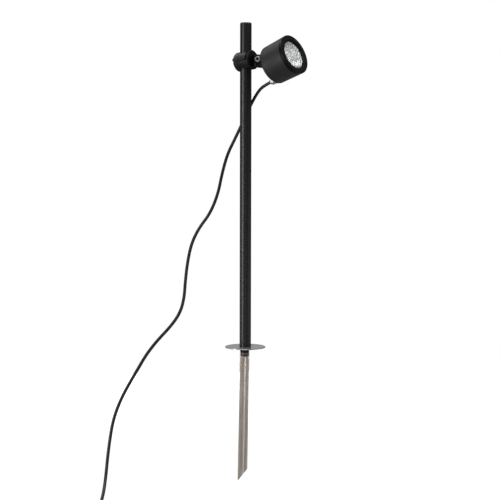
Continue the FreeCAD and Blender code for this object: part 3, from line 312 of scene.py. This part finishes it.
def spike_steel():
    """Rolled stainless angle: taupe legs with a lengthwise grain, and a painted highlight along the inner
    rounding.
    """
    finish = Finish("spike_steel", roughness=0.33, metallic=1.0)
    streaks = finish.noise(0.0022, detail=4, stretch=(1, 1, 26))
    # painted highlight: the inner rounding is coloured brighter than the legs
    legs = finish.from_line(ROUNDING_CENTRE, SPIKE_LINE, ROUNDING_RADIUS,
                            ROUNDING_RADIUS + ROUNDING_EDGE)
    half = calculated(finish.tree, "MULTIPLY", legs, 0.5)
    mean = calculated(finish.tree, "MULTIPLY_ADD", streaks, 0.5, half)
    finish.colour(mean, (0.35, grey(0.88, 0.04)), (0.62, grey(0.52, 0.12)),
                  (0.88, grey(0.72, 0.08)))
    finish.rough(finish.noise(0.004, stretch=(1, 1, 14)), 0.26, 0.44)
    finish.bump(finish.noise(0.0005, stretch=(1, 1, 18)), 0.00002, strength=0.5)
    return finish.material


def weld_metal():
    """Dark speckled weld, with brown heat tint round its lower edge."""
    finish = Finish("weld_metal", roughness=0.5, metallic=0.4)
    low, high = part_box("spike_weld")
    up = finish.height_above(low.z, high.z)
    speckle = finish.noise(0.0030, detail=4)
    spread = calculated(finish.tree, "MULTIPLY_ADD", speckle, SPECKLE_SHARE, up)
    finish.colour(spread, (0.30, (0.16, 0.10, 0.06, 1)), (0.50, (0.08, 0.055, 0.04, 1)),
                  (0.65, grey(0.05)), (0.82, grey(0.20)), (1.0, grey(0.05)))
    finish.bump(finish.noise(0.0016, detail=3), 0.0003, strength=0.9)
    return finish.material


def pivot_screw():
    """Bright turned screw, with painted shade in its socket."""
    finish = Finish("pivot_steel", roughness=0.3, metallic=1.0)
    # painted shade: the socket round the screw's axis is coloured near black
    bright = finish.from_line(TILT["pos_m"], TILT["axis"], SOCKET_RADIUS,
                              SOCKET_RADIUS + SOCKET_EDGE)
    finish.colour(bright, (0.0, grey(0.012)), (1.0, grey(0.17, 0.01)))
    finish.rough(finish.noise(0.002), 0.26, 0.38)
    finish.bump(finish.noise(0.0005), 0.00001, strength=0.5)
    return finish.material


def reflector_silver():
    """Vacuum-coated reflector: bright facets with greyer edges."""
    finish = Finish("reflector_silver", roughness=0.32, metallic=1.0)
    finish.colour(finish.cells(FACET_SIZE), (0.02, grey(0.36)), (0.10, grey(0.85)),
                  (0.25, grey(0.96)))
    finish.rough(finish.noise(0.004), 0.28, 0.36)
    finish.bump(finish.noise(0.003), 0.00002, strength=0.4)
    return finish.material


def clear_glass():
    """Flat toughened glass, very slightly grey."""
    finish = Finish("clear_glass", roughness=0.02, Transmission_Weight=1.0, IOR=1.45)
    finish.mottled(finish.noise(0.03), (0.95, 0.97, 0.96, 1), (0.97, 0.98, 0.98, 1))
    return finish.material


def phosphor():
    """Yellow silicone over the light source's chips, with a faint painted glow."""
    # painted glow: a faint yellow emission of its own
    finish = Finish("phosphor", roughness=0.35, Emission_Color=(1.0, 0.62, 0.12, 1),
                    Emission_Strength=0.15)
    finish.mottled(finish.noise(0.001), (0.85, 0.50, 0.07, 1), (0.95, 0.62, 0.12, 1))
    finish.bump(finish.noise(0.0008), 0.00003, strength=0.5)
    return finish.material


def make_materials():
    """Every material, by the record's material slot or by a name that OWN_COAT gives."""
    return {
        "black_pole": pole_paint(),
        "black_casting": powder_coat("casting_coat", 0.006, 0.011, 0.44, 0.0011, 0.00003),
        # lit and shaded copies of the black casting coat: the jaw's is lighter, as painted light, the body's
        # darker, as painted shade
        "cast_clamp_painted_light": powder_coat("cast_clamp_painted_light", 0.008, 0.018, 0.44, 0.0026, 0.00022, gloss=0.38),
        "clamp_painted_shade": powder_coat("clamp_painted_shade", 0.002, 0.005, 0.48, 0.0024, 0.00014, gloss=0.22),
        "barrel_coat": powder_coat("barrel_coat", 0.004, 0.009, 0.56, 0.0010, 0.00003),
        "weld_metal": weld_metal(),
        "scorched_steel": machined("scorched_steel", 0.13, 0.1, 0.5, grain=0.0012),
        "dark_knuckle": powder_coat("dark_knuckle", 0.001, 0.003, 0.5, 0.0016, 0.00004, gloss=0.1),
        "dark_ring": powder_coat("dark_ring", 0.002, 0.004, 0.42, 0.0010, 0.00002, gloss=0.12),
        "plate_steel": plate_steel(),
        "spike_steel": spike_steel(),
        "fastener_steel": machined("fastener_steel", 0.55, 0.02, 0.3),
        "pivot_steel": pivot_screw(),
        "black_screw": machined("black_screw", 0.05, 0.0, 0.38),
        "zinc_plug": machined("zinc_plug", 0.42, 0.0, 0.4),
        "black_nylon": moulded("black_nylon", 0.006, 0.010, 0.42),
        "gland_metal": machined("gland_metal", 0.50, 0.08, 0.35),
        "seal_rubber": moulded("seal_rubber", 0.014, 0.024, 0.75),
        "front_glass": clear_glass(),
        "reflector_silver": reflector_silver(),
        "heat_plate_metal": machined("heat_plate_metal", 0.6, 0.0, 0.35),
        "led_board_white": tinted("led_board_white", (0.78, 0.78, 0.76), 0.4, spread=0.05),
        "led_phosphor": phosphor(),
        "holder_white": tinted("holder_white", (0.80, 0.80, 0.78), 0.4, spread=0.05),
        "driver_green": tinted("driver_green", (0.02, 0.12, 0.05), 0.35),
        "transformer_black": moulded("transformer_black", 0.02, 0.035, 0.5),
        "capacitor_sleeve": tinted("capacitor_sleeve", (0.03, 0.04, 0.09), 0.25),
        "terminal_grey": tinted("terminal_grey", (0.34, 0.35, 0.35), 0.45),
        "core_insulation": tinted("core_insulation", (0.22, 0.09, 0.04), 0.35),
        "lead_insulation": tinted("lead_insulation", (0.40, 0.02, 0.015), 0.35),
        "cord_rubber": moulded("cord_rubber", 0.006, 0.011, 0.36, grain=0.0006),
        "tie_black": moulded("tie_black", 0.016, 0.026, 0.5),
        "plug_rubber": moulded("plug_rubber", 0.012, 0.02, 0.5),
        "pin_metal": machined("pin_metal", 0.68, 0.02, 0.22),
    }


# pieces whose coat differs from the others in the same slot: the clamp's jaw is coloured lighter, as painted
# light, and its body darker, as painted shade
OWN_COAT = {
    "clamp_jaw": "cast_clamp_painted_light",
    "clamp_body": "clamp_painted_shade",
    "lamp_housing": "barrel_coat",
    "anchor_bolt": "scorched_steel",
    "spike_weld": "weld_metal",
    "head_bracket": "dark_knuckle",
    "front_bezel": "dark_ring",
}


def dress_nodes():
    """Gives every solid the material of its slot in the record, or its own coat."""
    for part in frame["record"]["subparts"]:
        node = part["node"]
        mesh = NODES[node].data
        mesh.materials.clear()
        mesh.materials.append(MATERIALS[OWN_COAT.get(node, part["material_slot"])])


# ---------------------------------------------------------------------------
# Meshes
# ---------------------------------------------------------------------------

def add_object(name, data, body, slot):
    """A new piece that rides on a body and takes the finish of a slot."""
    piece = bpy.data.objects.new(name, data)
    bpy.context.scene.collection.objects.link(piece)
    data.materials.append(MATERIALS[slot])
    if body:
        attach(piece, body)
    return piece


def middle(node):
    """Centre of a solid's box."""
    low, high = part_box(node)
    return (low + high) / 2


BEAM = (middle("front_glass") - middle("led_emitter")).normalized()


def head_frame(distance):
    """Frame on the beam axis, that far in front of the light source: Z along the beam."""
    turn = BEAM.to_track_quat("Z", "Y").to_matrix().to_4x4()
    return Matrix.Translation(middle("led_emitter") + BEAM * distance) @ turn


# ---------------------------------------------------------------------------
# Cord
# ---------------------------------------------------------------------------

CORD_RADIUS = 0.0034
CORD_STEPS = 8
CORD_ROUNDNESS = 6
CORD_EXIT = Vector((0.0538, -0.0398, 0.5749))
CORD_ROUTE_MM = [
    (35.9, -26.6, 566.1),
    (25, -7, 553), (14, 12, 534), (3, 27, 511), (-9, 36, 485), (-24, 40, 453), (-40, 41, 421),
    (-52, 36, 377), (-60, 28, 335), (-77, 16, 292), (-101, 2, 261), (-117, -12, 228),
    (-125, -26, 188), (-129, -40, 149), (-131, -54, 112), (-140, -66, 81), (-160, -76, 54),
    (-188, -86, 25), (-210, -96, -3), (-228, -106, -34), (-247, -116, -66), (-264, -126, -99),
    (-277, -135, -136), (-283, -144, -174), (-287, -155, -211), (-289, -171, -245),
    (-291, -196, -273), (-294, -230, -289.5), (-291, -268, -290.4), (-291, -306, -290.4),
]
TAIL_STEPS_MM = [(0, -6.8, 0), (0, -22.8, 0), (1.5, -40.8, 4.5), (2, -58.8, 5.5)]

COIL_TURNS = 3.0
COIL_RADIUS = 0.041
COIL_PITCH = 0.0074
CLIMB_START = 1.25
CLIMB_END = 1.75
CLIMB_TUCK = 0.25
POINTS_PER_TURN = 24


def coil_point(turns):
    """A point on the middle line of the coil, a number of turns from its start."""
    if turns < CLIMB_START:
        inwards, climb = turns, 0.0
    elif turns > CLIMB_END:
        inwards, climb = COIL_TURNS - turns, 1.0
    else:
        climb_turns = CLIMB_END - CLIMB_START
        part = (turns - CLIMB_START) / climb_turns
        inwards = CLIMB_START + CLIMB_TUCK * math.sin(math.pi * part) * climb_turns
        climb = (1 - math.cos(math.pi * part)) / 2
    radius = (COIL_RADIUS - COIL_PITCH * inwards) / math.cos(math.pi / POINTS_PER_TURN)
    angle = math.pi + 2 * math.pi * turns
    start = Vector(CORD_ROUTE_MM[-1]) * MM
    centre = start + Vector((COIL_RADIUS, -2 * CORD_RADIUS, 0))
    return centre + Vector((radius * math.cos(angle), radius * math.sin(angle), COIL_PITCH * climb))


def cord_route():
    """Control points of the whole cord: free stretch, coil, and the tail to the plug."""
    points = [CORD_EXIT] + [Vector(point) * MM for point in CORD_ROUTE_MM]
    count = int(COIL_TURNS * POINTS_PER_TURN)
    points += [coil_point(index / POINTS_PER_TURN) for index in range(count + 1)]
    end = Vector(CORD_ROUTE_MM[-1]) * MM + Vector((0, -2 * CORD_RADIUS, COIL_PITCH))
    points += [end + Vector(step) * MM for step in TAIL_STEPS_MM]
    return points


def nurbs_curve(name, points):
    """A smooth open curve with the points as its control points."""
    curve = bpy.data.curves.new(name, "CURVE")
    curve.dimensions = "3D"
    curve.resolution_u = CORD_STEPS
    spline = curve.splines.new("NURBS")
    spline.points.add(len(points) - 1)
    for point, place in zip(spline.points, points):
        point.co = (*place, 1.0)
    spline.order_u = 3
    spline.use_endpoint_u = True
    return curve


def curve_mesh(curve):
    """The mesh that a curve makes."""
    carrier = bpy.data.objects.new("carrier", curve)
    bpy.context.scene.collection.objects.link(carrier)
    bpy.context.view_layer.update()
    graph = bpy.context.evaluated_depsgraph_get()
    mesh = bpy.data.meshes.new_from_object(carrier.evaluated_get(graph))
    bpy.data.objects.remove(carrier)
    return mesh


def shade_smooth(mesh):
    """Smooth shading on every face."""
    for polygon in mesh.polygons:
        polygon.use_smooth = True


def make_cord():
    """The whole cord as one tube."""
    curve = nurbs_curve("cord_line", cord_route())
    line = curve_mesh(curve)
    curve.bevel_depth = CORD_RADIUS
    curve.bevel_resolution = CORD_ROUNDNESS
    curve.use_fill_caps = True
    mesh = curve_mesh(curve)
    shade_smooth(mesh)
    cord = add_object("cord", mesh, None, "cord_rubber")
    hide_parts("supply_cord", "cord_coil", "plug_tail")
    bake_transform(cord)


# ---------------------------------------------------------------------------
# Reflector
# ---------------------------------------------------------------------------

REFLECTOR_SIDES = 32
REFLECTOR_RINGS = 10
REFLECTOR_LAMP_END = 0.008
REFLECTOR_MOUTH = 0.0310
REFLECTOR_START = 0.0012
REFLECTOR_DEPTH = 0.0311
REFLECTOR_WALL = 0.0012
REFLECTOR_LIP = 0.0026
RING_SPREAD = 1.4
FACET_RISE = 0.0004


def reflector_profile():
    """Radius and height of each ring: up the inside, over the lip, down the outside."""
    inside = []
    for index in range(REFLECTOR_RINGS + 1):
        share = (index / REFLECTOR_RINGS) ** RING_SPREAD
        radius = REFLECTOR_LAMP_END + (REFLECTOR_MOUTH - REFLECTOR_LAMP_END) * math.sqrt(share)
        inside.append((radius, REFLECTOR_DEPTH * share))
    under_lip = REFLECTOR_DEPTH - REFLECTOR_WALL
    rim = REFLECTOR_MOUTH + REFLECTOR_LIP
    lip = [(rim, REFLECTOR_DEPTH), (rim, under_lip), (REFLECTOR_MOUTH + REFLECTOR_WALL, under_lip)]
    outside = [(radius + REFLECTOR_WALL, along) for radius, along in reversed(inside[:-1])]
    return inside + lip + outside


def reflector_loops(shape):
    """A loop of corners for each ring; up the inside, each is turned half a facet further."""
    loops = []
    for ring, (radius, along) in enumerate(reflector_profile()):
        turns = [2 * math.pi * (side + 0.5 * min(ring, REFLECTOR_RINGS)) / REFLECTOR_SIDES
                 for side in range(REFLECTOR_SIDES)]
        loops.append([shape.verts.new((radius * math.cos(turn), radius * math.sin(turn), along))
                      for turn in turns])
    return loops


def make_reflector():
    """Faceted cup: rings of small blunt pyramids, from the light source to the glass."""
    mesh = bpy.data.meshes.new("reflector_cup")
    shape = bmesh.new()
    loops = reflector_loops(shape)
    for ring, loop in enumerate(loops):
        last = ring == len(loops) - 1
        following = loops[0] if last else loops[ring + 1]
        shift = REFLECTOR_RINGS // 2 if last else 0
        for side in range(REFLECTOR_SIDES):
            beyond = (side + 1) % REFLECTOR_SIDES
            near, far = (side + shift) % REFLECTOR_SIDES, (beyond + shift) % REFLECTOR_SIDES
            corners = [loop[side], loop[beyond], following[far], following[near]]
            if ring >= REFLECTOR_RINGS:
                shape.faces.new(corners)
                continue
            centre = sum((corner.co for corner in corners), Vector()) / len(corners)
            inwards = Vector((-centre.x, -centre.y, 0)).normalized()
            peak = shape.verts.new(centre + inwards * FACET_RISE)
            for one, other in zip(corners, corners[1:] + corners[:1]):
                shape.faces.new((one, other, peak))
    bmesh.ops.recalc_face_normals(shape, faces=shape.faces)
    shape.to_mesh(mesh)
    shape.free()
    mesh.transform(head_frame(REFLECTOR_START))
    cup = add_object("reflector_cup", mesh, "head", "reflector_silver")
    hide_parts("reflector")


# ---------------------------------------------------------------------------
# Floor and light
# ---------------------------------------------------------------------------

FLOOR = -0.2955
FLOOR_REACH = 1.5
FLOOR_SIDES = 64
FLOOR_WHITE = 1.68
FLOOR_WHITE_SHARE = 0.5
SHADOW_FADES_FROM = 0.4
SHADOW_ENDS_AT = 1.4

# strength of the world as light, and as seen in mirror images: all round, behind and above
WORLD_LIGHT = 0.32
ROOM = 0.12
BACKDROP = 1.0
BACKDROP_EDGE = (0.90, 0.96)
CEILING = 0.5
CEILING_EDGE = (0.30, 0.60)


def white_light(tree, kind, strength):
    """A plain white emission or background."""
    node = tree.nodes.new(kind)
    node.inputs["Color"].default_value = (1, 1, 1, 1)
    node.inputs["Strength"].default_value = strength
    return node


def mixed(tree, factor, shader, other):
    """One shader where the factor is 0, the other where it is 1."""
    mix = tree.nodes.new("ShaderNodeMixShader")
    if isinstance(factor, float):
        mix.inputs["Fac"].default_value = factor
    else:
        tree.links.new(factor, mix.inputs["Fac"])
    tree.links.new(shader, mix.inputs[1])
    tree.links.new(other, mix.inputs[2])
    return mix.outputs["Shader"]


def make_floor():
    """Pale studio floor, level with the tip of the spike: white, with the lamp's soft shadow."""
    mesh = bpy.data.meshes.new("floor")
    turns = [2 * math.pi * step / FLOOR_SIDES for step in range(FLOOR_SIDES)]
    corners = [(FLOOR_REACH * math.cos(turn), FLOOR_REACH * math.sin(turn), FLOOR)
               for turn in turns]
    mesh.from_pydata(corners, [], [tuple(range(FLOOR_SIDES))])
    floor = bpy.data.objects.new("floor", mesh)
    bpy.context.scene.collection.objects.link(floor)
    finish = Finish("floor_paper", roughness=0.9)
    finish.mottled(finish.noise(0.3), grey(0.48), grey(0.52))
    tree = finish.tree
    paper = finish.shader.outputs["BSDF"]
    white = white_light(tree, "ShaderNodeEmission", FLOOR_WHITE).outputs["Emission"]
    path = tree.nodes.new("ShaderNodeLightPath")
    outer = finish.from_line((0, 0, 0), (0, 0, 1), SHADOW_FADES_FROM, SHADOW_ENDS_AT)
    seen = mixed(tree, outer, mixed(tree, FLOOR_WHITE_SHARE, paper, white), white)
    surface = mixed(tree, path.outputs["Is Camera Ray"], paper, seen)
    tree.links.new(surface, tree.nodes["Material Output"].inputs["Surface"])
    mesh.materials.append(finish.material)


def make_world():
    """An even grey as light, and white in straight views and through the glass.

    Mirror images see a dim room, with a white wall straight behind and a pale ceiling.
    """
    world = bpy.data.worlds.new("studio")
    bpy.context.scene.world = world
    world.use_nodes = True
    tree = world.node_tree
    for node in list(tree.nodes):
        if node.type == "BACKGROUND":
            tree.nodes.remove(node)
    direction = tree.nodes.new("ShaderNodeTexCoord").outputs["Generated"]
    split = tree.nodes.new("ShaderNodeSeparateXYZ")
    tree.links.new(direction, split.inputs["Vector"])
    behind = ranged(tree, split.outputs["Y"], *BACKDROP_EDGE, ROOM, BACKDROP)
    above = ranged(tree, split.outputs["Z"], *CEILING_EDGE, 0.0, CEILING)
    mirrored = white_light(tree, "ShaderNodeBackground", 1.0)
    tree.links.new(calculated(tree, "ADD", behind, above), mirrored.inputs["Strength"])
    lit = white_light(tree, "ShaderNodeBackground", WORLD_LIGHT)
    seen = white_light(tree, "ShaderNodeBackground", 1.0)
    path = tree.nodes.new("ShaderNodeLightPath")
    shader = mixed(tree, path.outputs["Is Glossy Ray"], lit.outputs["Background"],
                   mirrored.outputs["Background"])
    straight = calculated(tree, "ADD", path.outputs["Is Camera Ray"],
                          path.outputs["Is Transmission Ray"])
    shader = mixed(tree, straight, shader, seen.outputs["Background"])
    tree.links.new(shader, tree.nodes["World Output"].inputs["Surface"])


def softbox(name, bearing, height, distance, size, power, aim=Vector((0, 0, 0.3))):
    """A soft light on that bearing, in degrees to the right of the camera's own direction."""
    data = bpy.data.lights.new(name, "AREA")
    data.shape = "RECTANGLE"
    data.size, data.size_y = size
    data.energy = power
    lamp = bpy.data.objects.new(name, data)
    bpy.context.scene.collection.objects.link(lamp)
    angle = math.radians(bearing)
    place = Vector((math.sin(angle) * distance, -math.cos(angle) * distance, height))
    turn = (place - aim).to_track_quat("Z", "Y").to_matrix().to_4x4()
    lamp.matrix_world = Matrix.Translation(place) @ turn


def make_lights():
    """The studio's lights: each one's bearing, height and distance, then its size and power."""
    softbox("key", -59, 0.22, 2.6, (0.75, 1.35), 27)
    softbox("front", 3, -0.3, 3.6, (1.0, 0.9), 4.2)
    softbox("top", -30, 3.0, 0.9, (1.4, 1.4), 26)
    softbox("right", 75, -0.25, 2.2, (2.2, 0.85), 4.5)
    softbox("left", -110, -0.05, 2.2, (1.4, 0.65), 1.6)
    softbox("behind", -130, 2.6, 2.2, (1.4, 1.2), 12, aim=middle("lamp_housing"))
    softbox("beam", 53, 1.38, 0.985, (0.6, 0.6), 3.0, aim=middle("front_glass"))


# ---------------------------------------------------------------------------
# Scene
# ---------------------------------------------------------------------------

bpy.context.scene.view_settings.view_transform = "Standard"
make_camera()
MATERIALS = make_materials()
dress_nodes()
make_cord()
make_reflector()
make_floor()
make_world()
make_lights()
